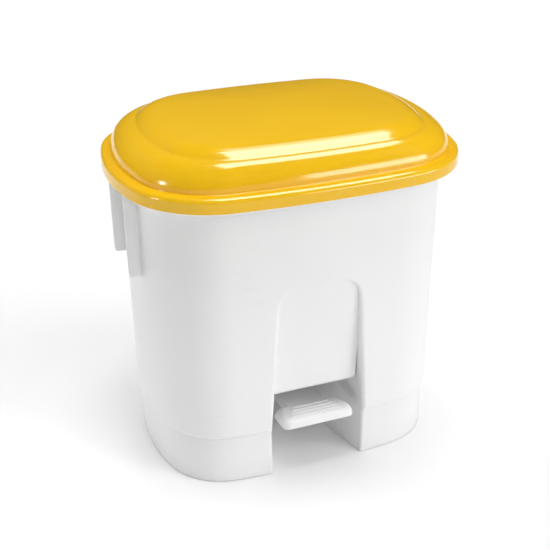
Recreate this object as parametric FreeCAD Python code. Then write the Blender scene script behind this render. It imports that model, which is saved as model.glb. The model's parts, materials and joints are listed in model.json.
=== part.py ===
import FreeCAD, Part
import math
import os

from FreeCAD import Vector

# Pedal bin. Millimetres, +Z up, the front faces -Y and +X is to the right seen from the front.
# The origin lies on the floor under the middle of the lid.

# Plan outline: tangent arcs, and every wall is a parallel inset of it.
HALF_WIDTH = 205.0
HALF_DEPTH = 154.3
SIDE_RADIUS = 281.0
FRONT_RADIUS = 1083.0
CORNER_RADIUS = 105.0

# Heights
FOOT_BOTTOM = 0.8
SEAM_Z = 63.0
RIM_Z = 373.0
LID_BOTTOM = 360.0
SHOULDER_Z = 376.0
TIER_Z = 406.0
EDGE_Z = 413.5
TOP_Z = 422.0

# Walls
WALL = 3.0
LID_WALL = 2.5
WALL_INSET = 20.5
WALL_INSET_LOW = 21.5
FOOT_INSET = 25.0
HEEL_RADIUS = 9.0
FLARE_RADIUS = 10.0
LIP_INSET = 3.2
LIP_BOTTOM = 356.5
LIP_WALL = 2.2
LIP_ROUND = 2.0
ARC_STEPS = 4

# Lid steps
SKIRT_ROUND = 5.0
SHOULDER_INSET = 12.2
TIER_INSET_X = 43.3
TIER_INSET_Y = 28.7
TIER_CORNER = 81.0
EDGE_INSET = 18.0
CROWN_INSET = 70.0
CREASE = 0.1

# Front recess and pedal tunnel
ARCH_TOP = 254.0
ARCH_HALF_TOP = 47.4
ARCH_HALF_SEAM = 59.0
ARCH_CORNER = 22.0
FRONT_FACE = HALF_DEPTH - WALL_INSET
TUNNEL_TAPER = 0.05
PANEL_TOP_DEPTH = 4.5
PANEL_FOOT_DEPTH = 17.0
ROLL_RADIUS = 10.0
CEILING_Z = 103.0
FOOT_GAP_FRONT = 59.1
FOOT_GAP_BACK = 33.0
FOOT_GAP_KNEE_Y = -28.0
FOOT_FACE = HALF_DEPTH - FOOT_INSET
SILL_TOP = 14.0
STRAP_FRONT_Y = 85.0
REACH = 175.0

# Side handles
FIN_Y = 37.0
FIN_THICK = 3.0
FIN_EDGE_X = 196.0
FIN_ROOT_X = 179.5
FIN_BOTTOM = 252.0
FIN_ROUND = 4.0

# Lid hinge
HINGE_Y = 145.0
HINGE_Z = 351.0
HINGE_X = 60.0
EAR_WIDTH = 12.0
KNUCKLE_WIDTH = 9.0
KNUCKLE_RADIUS = 5.0
EAR_RADIUS = 4.8
EAR_BACK = 4.0
EAR_GAP_FRONT = 6.0
EAR_GAP_BELOW = 8.0
HINGE_PIN_RADIUS = 2.0
HINGE_PIN_PROUD = 0.5
FIT = 0.05
SIDE_PLAY = 0.5

# Rear rod channel, lifter and rod
CHANNEL_HALF = 18.0
CHANNEL_FLOOR_Y = 112.0
CHANNEL_ROUND = 4.0
ROD_Y = 125.5
ROD_RADIUS = 3.0
LIFTER_ARM = 23.0
LIFTER_DROP = 37.5
LIFTER_PIN_RADIUS = 3.0
LIFTER_RADIUS = 6.0
WEB_INNER = 6.0
WEB_OUTER = 10.0
WEB_NOTCH_TOP = 358.0
PUSH_GAP = 1.0
ROD_COVER = 4.0
ROD_HEAD_TALL = 16.0
ROD_HEAD_PLATE = 5.0
ROD_HEAD_HALF = 5.1
ROD_HEAD_FRONT = 9.0
ROD_HEAD_BACK = 8.0
ROD_FOOT_RADIUS = 5.0
ROD_FOOT_TALL = 16.0
GUIDE_HEIGHTS = (128.0, 282.0)
GUIDE_TALL = 14.0
GUIDE_DEPTH = 20.0
GUIDE_SCREW_X = 11.5
GUIDE_SCREW_BITE = 1.8
GUIDE_BORE_DEPTH = 2.0

# Screws
SCREW_RADIUS = 1.8
SCREW_HEAD_RADIUS = 3.6
SCREW_HEAD_TALL = 2.2
SCREW_HEAD_ROUND = 1.0
SLOT_HALF_LENGTH = 3.0
SLOT_HALF_WIDTH = 0.5
SLOT_DEPTH = 1.0

# Pedal
AXLE_Y = 30.0
AXLE_Z = 47.0
AXLE_RADIUS = 3.0
AXLE_HALF = 44.0
AXLE_CHAMFER = 0.5
PEDAL_TILT = 9.0
LEVER_TOP = 0.8
LEVER_PLATE = 3.0
LEVER_DEPTH = 11.0
LEVER_HALF = 25.5
LEVER_TAIL_HALF = 13.0
LEVER_TAIL_Y = 104.0
LEVER_NOSE_Y = -152.5
LEVER_NARROW_FROM = 13.0
LEVER_NARROW_TO = 41.0
LEVER_NOSE_LIFT = 2.0
BOSS_RADIUS = 7.0
TREAD_WALL = 2.5
TREAD_TOP = LEVER_TOP + TREAD_WALL
TREAD_BOTTOM = -7.5
TREAD_BACK_Y = -127.0
TREAD_FRONT_Y = -166.5
TREAD_BACK_HALF = 44.5
TREAD_FRONT_HALF = 45.5
TREAD_SHOULDER_Y = -155.0
TREAD_CORNER = 9.0
TREAD_ROUND = 6.0
TREAD_DOOR_PLAY = 0.3
TREAD_DOOR_DEPTH = 6.0
TREAD_SCREW_X = 17.0
TREAD_SCREW_Y = -136.0
TREAD_SCREW_BITE = 1.5
TREAD_BORE_DEPTH = 1.6
RIB_FIRST_Y = -157.0
RIB_PITCH = 7.4
RIB_COUNT = 4
RIB_HALF_FIRST = 31.7
RIB_SHRINK = 2.4
RIB_RADIUS = 1.7
RIB_PROUD = 1.0
CHEEK_INNER = 28.0
CHEEK_HALF = 11.2
CLIP_RADIUS = 6.0
CLIP_THICK = 1.0
CLIP_MOUTH_HALF = 2.2

# Feet and base screws
PAD_X = 133.0
PAD_Y = 82.0
PAD_RADIUS = 9.0
PAD_TALL = 3.5
PAD_ROUND = 1.0
POST_RADIUS = 7.5
BASE_SCREW_X = 112.0
BASE_SCREW_Y = 45.0
BASE_SCREW_BITE = 4.0
BOSS_RADIUS_UP = 7.2
BOSS_TALL = 6.0


# ---------------------------------------------------------------- outlines and solids

def outline(half_w, half_d, side_r, front_r, corner_r, z):
    """Closed wire of eight tangent arcs: the sides, the front and back, and four corners."""
    side_c = half_w - side_r
    front_c = half_d - front_r
    span = math.hypot(side_c, front_c)
    r1 = side_r - corner_r
    r2 = front_r - corner_r
    along = (r1 ** 2 - r2 ** 2 + span ** 2) / (2 * span)
    off = math.sqrt(r1 ** 2 - along ** 2)
    ux, uy = -side_c / span, front_c / span
    cx = side_c + along * ux - off * uy
    cy = along * uy + off * ux
    turn_1 = math.atan2(cy, cx - side_c)
    turn_2 = math.atan2(cy - front_c, cx)
    middle = (turn_1 + turn_2) / 2

    def corner(turn):
        return cx + corner_r * math.cos(turn), cy + corner_r * math.sin(turn)

    p, m, q = corner(turn_1), corner(middle), corner(turn_2)
    side, back = (half_w, 0.0), (0.0, half_d)
    arcs = [
        ((p[0], -p[1]), side, p),
        (p, m, q),
        (q, back, (-q[0], q[1])),
        ((-q[0], q[1]), (-m[0], m[1]), (-p[0], p[1])),
        ((-p[0], p[1]), (-side[0], 0.0), (-p[0], -p[1])),
        ((-p[0], -p[1]), (-m[0], -m[1]), (-q[0], -q[1])),
        ((-q[0], -q[1]), (0.0, -back[1]), (q[0], -q[1])),
        ((q[0], -q[1]), (m[0], -m[1]), (p[0], -p[1])),
    ]
    edges = [Part.Arc(*[Vector(x, y, z) for x, y in arc]).toShape() for arc in arcs]
    return Part.Wire(edges)


def inset_outline(inset, z):
    return outline(
        HALF_WIDTH - inset,
        HALF_DEPTH - inset,
        SIDE_RADIUS - inset,
        FRONT_RADIUS - inset,
        CORNER_RADIUS - inset,
        z,
    )


def slab(inset, low, high):
    """A straight-sided block on the plan outline."""
    return Part.Face(inset_outline(inset, low)).extrude(Vector(0, 0, high - low))


def stack(wires):
    return Part.makeLoft(wires, True, True)


def box(x0, x1, y0, y1, z0, z1):
    return Part.makeBox(x1 - x0, y1 - y0, z1 - z0, Vector(x0, y0, z0))


def rod_x(x0, x1, y, z, radius):
    return Part.makeCylinder(radius, x1 - x0, Vector(x0, y, z), Vector(1, 0, 0))


def rod_z(x, y, z0, z1, radius):
    return Part.makeCylinder(radius, z1 - z0, Vector(x, y, z0), Vector(0, 0, 1))


def rod_y(x, z, y0, y1, radius):
    return Part.makeCylinder(radius, y1 - y0, Vector(x, y0, z), Vector(0, 1, 0))


def plate_x(points, x0, x1):
    """A plate across X from its outline in Y and Z."""
    corners = [Vector(x0, y, z) for y, z in points]
    face = Part.Face(Part.makePolygon(corners + corners[:1]))
    return face.extrude(Vector(x1 - x0, 0, 0))


def plate_z(points, z0, z1):
    corners = [Vector(x, y, z0) for x, y in points]
    face = Part.Face(Part.makePolygon(corners + corners[:1]))
    return face.extrude(Vector(0, 0, z1 - z0))


def fillet_where(solid, radius, wanted):
    """Rounds the edges whose middle point passes the test."""
    edges = [e for e in solid.Edges if wanted(e)]
    return solid.makeFillet(radius, edges)


def along(edge, axis):
    first, last = edge.Vertexes[0].Point, edge.Vertexes[-1].Point
    run = last - first
    return run.Length > 0 and abs(run.dot(axis)) / run.Length > 0.999


def mirrored(solid):
    """The same solid on the other side of the plane X = 0."""
    return solid.mirror(Vector(0, 0, 0), Vector(1, 0, 0))


def quarter(steps):
    """Sine and 1 - cosine of equal turns through a right angle, the first turn left out."""
    turns = [math.pi / 2 * (i + 1) / steps for i in range(steps)]
    return [(math.sin(t), 1 - math.cos(t)) for t in turns]


# ---------------------------------------------------------------- front recess and tunnel

def arch_wire(y, skin):
    """Outline of the recess and tunnel across the bin, narrower towards the back."""
    narrow = TUNNEL_TAPER * (y + FRONT_FACE)
    slope = (ARCH_HALF_SEAM - ARCH_HALF_TOP) / (ARCH_TOP - SEAM_Z)
    top = ARCH_TOP + skin
    low = SEAM_Z - 2 * WALL
    half_top = ARCH_HALF_TOP - narrow + skin
    half_low = ARCH_HALF_SEAM - narrow + skin + slope * 2 * WALL
    return Part.makePolygon([
        Vector(-half_low, y, low),
        Vector(half_low, y, low),
        Vector(half_top, y, top),
        Vector(-half_top, y, top),
        Vector(-half_low, y, low),
    ])


def recess(skin):
    """The recess under the arch with its leaning panel, and the tunnel behind its rolled foot."""
    arch = stack([arch_wire(-REACH, skin), arch_wire(REACH, skin)])
    corners = [e for e in arch.Edges if e.BoundBox.YLength > REACH and e.BoundBox.ZMin > CEILING_Z]
    arch = arch.makeFillet(ARCH_CORNER + skin, corners)
    top_y = -FRONT_FACE + PANEL_TOP_DEPTH + skin
    foot_y = -FRONT_FACE + PANEL_FOOT_DEPTH + skin
    ceiling = CEILING_Z + skin
    lean = (foot_y - top_y) / (ARCH_TOP - ceiling)
    top = ARCH_TOP + 2 * WALL
    side = plate_x(
        [
            (-REACH, top),
            (top_y - lean * 2 * WALL, top),
            (foot_y, ceiling),
            (REACH, ceiling),
            (REACH, SEAM_Z - WALL),
            (-REACH, SEAM_Z - WALL),
        ],
        -REACH,
        REACH,
    )
    rolled = fillet_where(
        side,
        ROLL_RADIUS + skin,
        lambda e: abs(e.CenterOfMass.y - foot_y) < 1 and abs(e.CenterOfMass.z - ceiling) < 1,
    )
    return arch.common(rolled)


def foot_tunnel(skin):
    """The gap between the feet: its walls lean in towards the back at floor level."""
    def ring(z, front_half, knee_half, back_half):
        half = [
            (front_half, -REACH),
            (knee_half, FOOT_GAP_KNEE_Y),
            (back_half, REACH),
        ]
        right = [Vector(x + skin, y, z) for x, y in half]
        left = [Vector(-p.x, p.y, z) for p in reversed(right)]
        return Part.makePolygon(right + left + right[:1])

    def upper(y):
        return ARCH_HALF_SEAM - TUNNEL_TAPER * (y + FRONT_FACE)

    run = (FOOT_GAP_FRONT - FOOT_GAP_BACK) / (FOOT_GAP_KNEE_Y + FOOT_FACE)
    low_front = FOOT_GAP_FRONT + run * (REACH - FOOT_FACE)
    low = ring(-1.0, low_front, FOOT_GAP_BACK, FOOT_GAP_BACK)
    high = ring(SEAM_Z + 1.0, upper(-REACH), upper(FOOT_GAP_KNEE_Y), upper(REACH))
    return stack([low, high])


def channel(skin):
    """The upright groove in the back wall that the rod runs in."""
    groove = box(
        -CHANNEL_HALF - skin,
        CHANNEL_HALF + skin,
        CHANNEL_FLOOR_Y - skin,
        REACH,
        CEILING_Z - WALL,
        RIM_Z if skin else RIM_Z + WALL,
    )
    return fillet_where(
        groove,
        CHANNEL_ROUND + skin,
        lambda e: along(e, Vector(0, 0, 1)) and e.CenterOfMass.y < HALF_DEPTH,
    )


# ---------------------------------------------------------------- places of repeated pieces

def four_corners(x, y):
    return [(x, -y), (-x, -y), (x, y), (-x, y)]


PAD_PLACES = four_corners(PAD_X, PAD_Y)
BASE_SCREW_PLACES = four_corners(BASE_SCREW_X, BASE_SCREW_Y)
GUIDE_SCREWS = [(x, z) for z in GUIDE_HEIGHTS for x in (GUIDE_SCREW_X, -GUIDE_SCREW_X)]


# ---------------------------------------------------------------- tub

def tub_outside():
    """The tub's outer shape with the rounded heel, the flare under the rim and the turned-down lip."""
    heel_turn = math.acos(1 - (FOOT_INSET - WALL_INSET_LOW) / HEEL_RADIUS)
    heel_tall = HEEL_RADIUS * math.sin(heel_turn)
    wires = []
    for i in range(ARC_STEPS + 1):
        turn = heel_turn * (1 - i / ARC_STEPS)
        inset = WALL_INSET_LOW + HEEL_RADIUS * (1 - math.cos(turn))
        wires.append(inset_outline(inset, SEAM_Z + heel_tall - HEEL_RADIUS * math.sin(turn)))
    flare_z = RIM_Z - WALL - FLARE_RADIUS
    wires.append(inset_outline(WALL_INSET, flare_z))
    for rise, out in quarter(ARC_STEPS):
        wires.append(inset_outline(WALL_INSET - FLARE_RADIUS * out, flare_z + FLARE_RADIUS * rise))
    wall = stack(wires)
    plate = [inset_outline(LIP_INSET, RIM_Z - WALL), inset_outline(LIP_INSET, RIM_Z - LIP_ROUND)]
    for rise, out in quarter(ARC_STEPS):
        plate.append(inset_outline(LIP_INSET + LIP_ROUND * out, RIM_Z - LIP_ROUND + LIP_ROUND * rise))
    lip = slab(LIP_INSET, LIP_BOTTOM, RIM_Z - WALL)
    lip = lip.cut(slab(LIP_INSET + LIP_WALL, LIP_BOTTOM - 1, RIM_Z - WALL + 1))
    return wall.fuse(stack(plate)).fuse(lip)


def tub_inside():
    flare_z = RIM_Z - WALL - FLARE_RADIUS
    radius = FLARE_RADIUS + WALL
    wires = [
        inset_outline(FOOT_INSET + WALL, SEAM_Z + WALL),
        inset_outline(WALL_INSET_LOW + WALL, SEAM_Z + WALL + HEEL_RADIUS),
        inset_outline(WALL_INSET + WALL, flare_z),
    ]
    for rise, out in quarter(ARC_STEPS):
        wires.append(inset_outline(WALL_INSET + WALL - radius * out, flare_z + radius * rise))
    return stack(wires)


def fin(y):
    """One of the four upright plates under the rim that a hand lifts the bin by."""
    half = FIN_THICK / 2
    plate = box(FIN_ROOT_X, FIN_EDGE_X, y - half, y + half, FIN_BOTTOM, RIM_Z - WALL + 1)

    def outer_low_corner(edge):
        middle = edge.CenterOfMass
        return along(edge, Vector(0, 1, 0)) and middle.x > FIN_EDGE_X - 1 and middle.z < FIN_BOTTOM + 1

    return fillet_where(plate, FIN_ROUND, outer_low_corner)


def knuckle_spans():
    """The two knuckles of the tub on each side of one lid ear, on the right of the bin."""
    half = EAR_WIDTH / 2 + SIDE_PLAY
    return [
        (HINGE_X - half - KNUCKLE_WIDTH, HINGE_X - half),
        (HINGE_X + half, HINGE_X + half + KNUCKLE_WIDTH),
    ]


def knuckle(x0, x1):
    root_y = HALF_DEPTH - WALL_INSET - 2 * WALL
    web = box(x0, x1, root_y, HINGE_Y, HINGE_Z - KNUCKLE_RADIUS, HINGE_Z + KNUCKLE_RADIUS)
    return web.fuse(rod_x(x0, x1, HINGE_Y, HINGE_Z, KNUCKLE_RADIUS))


def bin_body():
    """The tub: outside less its room, with the recess, tunnel and rod channel kept a wall thick."""
    room = tub_inside().cut(recess(WALL)).cut(channel(WALL))
    tub = tub_outside()
    knuckles = [knuckle(x0, x1) for x0, x1 in knuckle_spans()]
    for solid in [fin(FIN_Y), fin(-FIN_Y)] + knuckles:
        tub = tub.fuse(solid).fuse(mirrored(solid))
    for x, y in BASE_SCREW_PLACES:
        room = room.cut(rod_z(x, y, SEAM_Z, SEAM_Z + WALL + BOSS_TALL, BOSS_RADIUS_UP))
    tub = tub.cut(room).cut(recess(0.0)).cut(channel(0.0))
    half = EAR_WIDTH / 2 + SIDE_PLAY
    low_z = HINGE_Z - EAR_GAP_BELOW
    ear_gap = box(HINGE_X - half, HINGE_X + half, HINGE_Y - EAR_GAP_FRONT, REACH, low_z, RIM_Z + 1)
    bore = rod_x(0, REACH, HINGE_Y, HINGE_Z, HINGE_PIN_RADIUS + FIT)
    for tool in (ear_gap, bore):
        tub = tub.cut(tool).cut(mirrored(tool))
    for x, y in BASE_SCREW_PLACES:
        tub = tub.cut(rod_z(x, y, 0, SEAM_Z + 2 * WALL, SCREW_RADIUS + FIT))
    bore_y = CHANNEL_FLOOR_Y - GUIDE_BORE_DEPTH
    for x, z in GUIDE_SCREWS:
        tub = tub.cut(rod_y(x, z, bore_y, CHANNEL_FLOOR_Y + 1, SCREW_RADIUS + FIT))
    return tub


# ---------------------------------------------------------------- base

def axle_cheek():
    """The block on the right-hand foot that carries one end of the axle."""
    reach = ARCH_HALF_SEAM - TUNNEL_TAPER * (AXLE_Y + FRONT_FACE)
    front_y, back_y = AXLE_Y - CHEEK_HALF, AXLE_Y + CHEEK_HALF
    return box(CHEEK_INNER, reach, front_y, back_y, AXLE_Z - CHEEK_HALF, SEAM_Z)


def rear_sill():
    """A low wall and a floor strap behind the lever, which tie the two feet together."""
    wall = slab(FOOT_INSET, FOOT_BOTTOM - 1, SILL_TOP)
    wall = wall.cut(slab(FOOT_INSET + WALL, FOOT_BOTTOM - 1, SILL_TOP))
    strap = slab(FOOT_INSET, FOOT_BOTTOM - 1, FOOT_BOTTOM + WALL)
    behind = box(-REACH, REACH, STRAP_FRONT_Y, REACH, FOOT_BOTTOM - 1, SILL_TOP)
    return wall.fuse(strap).common(behind)


def base_frame():
    """Two hollow feet, open below, with the axle cheeks between them and posts for the pads."""
    solid = slab(FOOT_INSET, FOOT_BOTTOM, SEAM_Z)
    hollow = slab(FOOT_INSET + WALL, FOOT_BOTTOM - 1, SEAM_Z - WALL).cut(foot_tunnel(WALL))
    for x, y in PAD_PLACES:
        hollow = hollow.cut(rod_z(x, y, PAD_TALL, SEAM_Z, POST_RADIUS))
    solid = solid.cut(hollow).cut(foot_tunnel(0.0).cut(rear_sill()))
    cheek = axle_cheek()
    solid = solid.fuse(cheek).fuse(mirrored(cheek))
    bore_half = ARCH_HALF_SEAM - WALL
    solid = solid.cut(rod_x(-bore_half, bore_half, AXLE_Y, AXLE_Z, AXLE_RADIUS + FIT))
    for x, y in BASE_SCREW_PLACES:
        solid = solid.cut(rod_z(x, y, SEAM_Z - WALL - 1, SEAM_Z + 1, SCREW_RADIUS + FIT))
    return solid


def foot_pad(x, y):
    pad = rod_z(x, y, 0, PAD_TALL, PAD_RADIUS)
    return fillet_where(pad, PAD_ROUND, lambda e: e.BoundBox.ZMax < PAD_ROUND)


def screw_up(x, y, seat_z, length):
    """A pan-head screw that goes up from the face it clamps."""
    low_z = seat_z - SCREW_HEAD_TALL
    head = rod_z(x, y, low_z, seat_z, SCREW_HEAD_RADIUS)
    head = fillet_where(head, SCREW_HEAD_ROUND, lambda e: e.BoundBox.ZMax < low_z + SCREW_HEAD_ROUND)
    slot = box(
        x - SLOT_HALF_LENGTH,
        x + SLOT_HALF_LENGTH,
        y - SLOT_HALF_WIDTH,
        y + SLOT_HALF_WIDTH,
        low_z - 1,
        low_z + SLOT_DEPTH,
    )
    return head.fuse(rod_z(x, y, seat_z, seat_z + length, SCREW_RADIUS)).cut(slot)


# ---------------------------------------------------------------- lid

def lid_skin(inward):
    """The lid's shape as a solid: skirt, shoulder, two stepped tiers and a gentle crown."""
    wires = []

    def add(inset_x, inset_y, corner_r, z):
        wires.append(outline(
            HALF_WIDTH - inset_x - inward,
            HALF_DEPTH - inset_y - inward,
            SIDE_RADIUS - inset_x - inward,
            FRONT_RADIUS - inset_y - inward,
            corner_r - inward,
            z,
        ))

    add(0, 0, CORNER_RADIUS, LID_BOTTOM - (1 if inward else 0))
    add(0, 0, CORNER_RADIUS, SHOULDER_Z - SKIRT_ROUND)
    edge_round = SKIRT_ROUND - inward
    for rise, out in quarter(ARC_STEPS):
        inset = edge_round * out
        add(inset, inset, CORNER_RADIUS - inset, SHOULDER_Z - SKIRT_ROUND + edge_round * rise)
    corner = CORNER_RADIUS - SHOULDER_INSET
    add(SHOULDER_INSET, SHOULDER_INSET, corner, SHOULDER_Z + CREASE - inward)
    for rise, out in quarter(6):
        add(
            SHOULDER_INSET + (TIER_INSET_X - SHOULDER_INSET) * out,
            SHOULDER_INSET + (TIER_INSET_Y - SHOULDER_INSET) * out,
            corner + (TIER_CORNER - corner) * out,
            SHOULDER_Z + CREASE + (TIER_Z - SHOULDER_Z) * rise - inward,
        )
    for rise, out in quarter(4):
        step = EDGE_INSET * out
        z = TIER_Z + 2 * CREASE + (EDGE_Z - TIER_Z) * rise - inward
        add(TIER_INSET_X + step, TIER_INSET_Y + step, TIER_CORNER - step, z)
    edge_z = EDGE_Z + 2 * CREASE
    for rise, out in quarter(4):
        step = EDGE_INSET + (CROWN_INSET - EDGE_INSET) * out
        z = edge_z + (TOP_Z - edge_z) * rise - inward
        add(TIER_INSET_X + step, TIER_INSET_Y + step, TIER_CORNER - step, z)
    return stack(wires)


def lifter_centre():
    drop = math.radians(LIFTER_DROP)
    return HINGE_Y - LIFTER_ARM * math.cos(drop), HINGE_Z - LIFTER_ARM * math.sin(drop)


def lifter_web():
    """One of the two moulded webs under the back of the lid that carry the lifter pin."""
    y, z = lifter_centre()
    plate = box(WEB_INNER, WEB_OUTER, y - LIFTER_RADIUS, y + 2 * LIFTER_RADIUS, z, TIER_Z)
    web = plate.fuse(rod_x(WEB_INNER, WEB_OUTER, y, z, LIFTER_RADIUS))
    corner = box(WEB_INNER, WEB_OUTER, y + LIFTER_RADIUS, y + 2 * LIFTER_RADIUS + 1, z - 1, WEB_NOTCH_TOP)
    return web.cut(corner).cut(rod_x(0, REACH, y, z, LIFTER_PIN_RADIUS + FIT))


def hinge_ear():
    """The lug under the back of the lid that turns on one hinge pin."""
    x0, x1 = HINGE_X - EAR_WIDTH / 2, HINGE_X + EAR_WIDTH / 2
    plate = box(x0, x1, HINGE_Y - KNUCKLE_RADIUS, HINGE_Y + EAR_BACK, HINGE_Z, SHOULDER_Z)
    ear = plate.fuse(rod_x(x0, x1, HINGE_Y, HINGE_Z, EAR_RADIUS))
    return ear.cut(rod_x(0, REACH, HINGE_Y, HINGE_Z, HINGE_PIN_RADIUS + FIT))


def lid():
    outside = lid_skin(0.0)
    shell = outside.cut(lid_skin(LID_WALL))
    room = outside.fuse(slab(LID_WALL, HINGE_Z - 2 * LIFTER_ARM, LID_BOTTOM + 1))
    for solid in (lifter_web(), hinge_ear()):
        kept = solid.common(room)
        shell = shell.fuse(kept).fuse(mirrored(kept))
    return shell


# ---------------------------------------------------------------- pedal

def at_rest(solid):
    """From the lever's own level frame on the axle to its resting place, front end raised."""
    placed = solid.copy()
    placed.rotate(Vector(0, 0, 0), Vector(1, 0, 0), -PEDAL_TILT)
    placed.translate(Vector(0, AXLE_Y, AXLE_Z))
    return placed


def pedal_lever():
    """A long channel section, open below, with a boss for the axle and a narrow tail."""
    right = [
        (LEVER_HALF, LEVER_NOSE_Y),
        (LEVER_HALF, LEVER_NARROW_FROM),
        (LEVER_TAIL_HALF, LEVER_NARROW_TO),
        (LEVER_TAIL_HALF, LEVER_TAIL_Y),
    ]
    plan = right + [(-x, y) for x, y in reversed(right)]
    solid = plate_z(plan, LEVER_TOP - LEVER_DEPTH, LEVER_TOP)
    under = [(x - math.copysign(WALL, x), y - math.copysign(WALL, y - 1)) for x, y in plan]
    solid = solid.cut(plate_z(under, LEVER_TOP - LEVER_DEPTH - 1, LEVER_TOP - LEVER_PLATE))
    nose = box(
        -LEVER_HALF - 1,
        LEVER_HALF + 1,
        LEVER_NOSE_Y - 1,
        TREAD_BACK_Y + LEVER_NOSE_LIFT,
        -2 * LEVER_DEPTH,
        TREAD_BOTTOM + LEVER_NOSE_LIFT,
    )
    solid = solid.cut(nose)
    solid = solid.fuse(rod_x(-LEVER_HALF, LEVER_HALF, 0, 0, BOSS_RADIUS))
    solid = solid.cut(rod_x(-LEVER_HALF - 1, LEVER_HALF + 1, 0, 0, AXLE_RADIUS + FIT))
    for x in (TREAD_SCREW_X, -TREAD_SCREW_X):
        solid = solid.cut(rod_z(x, TREAD_SCREW_Y, -2 * LEVER_DEPTH, LEVER_TOP + 1, SCREW_RADIUS + FIT))
    return at_rest(solid)


def tread_block(shrink, low, high):
    """The tread's outline as a block: wider to the front, with round front corners."""
    plan = [
        (TREAD_BACK_HALF - shrink, TREAD_BACK_Y - shrink),
        (TREAD_FRONT_HALF - shrink, TREAD_SHOULDER_Y),
        (TREAD_FRONT_HALF - shrink, TREAD_FRONT_Y + shrink),
    ]
    left = [(-x, y) for x, y in reversed(plan)]
    block = plate_z(plan + left, low, high)
    return fillet_where(
        block,
        TREAD_CORNER - shrink,
        lambda e: along(e, Vector(0, 0, 1)) and e.CenterOfMass.y < TREAD_SHOULDER_Y - 1,
    )


def pedal_tread():
    block = tread_block(0.0, TREAD_BOTTOM, TREAD_TOP)
    block = fillet_where(
        block,
        TREAD_ROUND,
        lambda e: e.BoundBox.ZMin > TREAD_TOP - 0.01 and e.CenterOfMass.y < TREAD_BACK_Y - 1,
    )
    under = tread_block(TREAD_WALL, TREAD_BOTTOM - 1, LEVER_TOP)
    under = fillet_where(
        under,
        TREAD_ROUND - TREAD_WALL,
        lambda e: e.BoundBox.ZMin > LEVER_TOP - 0.01 and e.CenterOfMass.y < TREAD_BACK_Y - TREAD_WALL - 1,
    )
    block = block.cut(under)
    door_half = LEVER_HALF + TREAD_DOOR_PLAY
    door_y = TREAD_BACK_Y - TREAD_DOOR_DEPTH
    block = block.cut(box(-door_half, door_half, door_y, TREAD_BACK_Y + 1, TREAD_BOTTOM - 1, LEVER_TOP))
    rib_z = TREAD_TOP + RIB_PROUD - RIB_RADIUS
    for i in range(RIB_COUNT):
        half = RIB_HALF_FIRST - RIB_SHRINK * i
        block = block.fuse(rod_x(-half, half, RIB_FIRST_Y + RIB_PITCH * i, rib_z, RIB_RADIUS))
    bore_top = LEVER_TOP + TREAD_BORE_DEPTH
    for x in (TREAD_SCREW_X, -TREAD_SCREW_X):
        block = block.cut(rod_z(x, TREAD_SCREW_Y, LEVER_TOP - 1, bore_top, SCREW_RADIUS + FIT))
    return at_rest(block)


def tread_screw(x):
    length = LEVER_PLATE + TREAD_SCREW_BITE
    return at_rest(screw_up(x, TREAD_SCREW_Y, LEVER_TOP - LEVER_PLATE, length))


def pedal_axle():
    pin = rod_x(-AXLE_HALF, AXLE_HALF, AXLE_Y, AXLE_Z, AXLE_RADIUS)
    end_circles = [e for e in pin.Edges if e.BoundBox.XLength < AXLE_RADIUS]
    return pin.makeChamfer(AXLE_CHAMFER, end_circles)


def axle_clip(side):
    """A snap ring on the axle, in the gap between the lever's boss and a cheek."""
    middle = (CHEEK_INNER + LEVER_HALF) / 2
    x0 = side * middle - CLIP_THICK / 2
    ring = rod_x(x0, x0 + CLIP_THICK, AXLE_Y, AXLE_Z, CLIP_RADIUS)
    ring = ring.cut(rod_x(x0 - 1, x0 + CLIP_THICK + 1, AXLE_Y, AXLE_Z, AXLE_RADIUS + FIT / 2))
    front_y, back_y = AXLE_Y - CLIP_MOUTH_HALF, AXLE_Y + CLIP_MOUTH_HALF
    mouth = box(x0 - 1, x0 + CLIP_THICK + 1, front_y, back_y, AXLE_Z - CLIP_RADIUS - 1, AXLE_Z)
    return ring.cut(mouth)


# ---------------------------------------------------------------- rod

def rod_foot_centre():
    """Height of the round end of the rod, just clear of the lever's tail at rest."""
    tilt = math.radians(PEDAL_TILT)
    tail = AXLE_Z - (ROD_Y - AXLE_Y) * math.tan(tilt) + LEVER_TOP / math.cos(tilt)
    return tail + (ROD_FOOT_RADIUS + PUSH_GAP) / math.cos(tilt)


def rod_top():
    return lifter_centre()[1] - LIFTER_PIN_RADIUS - PUSH_GAP


def push_rod():
    return rod_z(0, ROD_Y, rod_foot_centre() + ROD_COVER, rod_top() - ROD_COVER, ROD_RADIUS)


def rod_head():
    """The cap on the rod's upper end: a socket under a flat plate that pushes the lifter pin."""
    top = rod_top()
    low = top - ROD_HEAD_TALL
    socket_top = top - ROD_COVER
    front_y, back_y = ROD_Y - ROD_HEAD_FRONT, ROD_Y + ROD_HEAD_BACK
    plate = box(-ROD_HEAD_HALF, ROD_HEAD_HALF, front_y, back_y, top - ROD_HEAD_PLATE, top)
    head = plate.fuse(rod_z(0, ROD_Y, low, socket_top, ROD_HEAD_HALF))
    return head.cut(rod_z(0, ROD_Y, low - 1, socket_top, ROD_RADIUS + FIT / 2))


def rod_foot():
    """The round shoe on the rod's lower end, which rests on the lever's tail."""
    z = rod_foot_centre()
    top = z + ROD_FOOT_TALL
    ball = Part.makeSphere(ROD_FOOT_RADIUS, Vector(0, ROD_Y, z))
    foot = ball.fuse(rod_z(0, ROD_Y, z, top, ROD_FOOT_RADIUS))
    return foot.cut(rod_z(0, ROD_Y, z + ROD_COVER, top + 1, ROD_RADIUS + FIT / 2))


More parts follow.
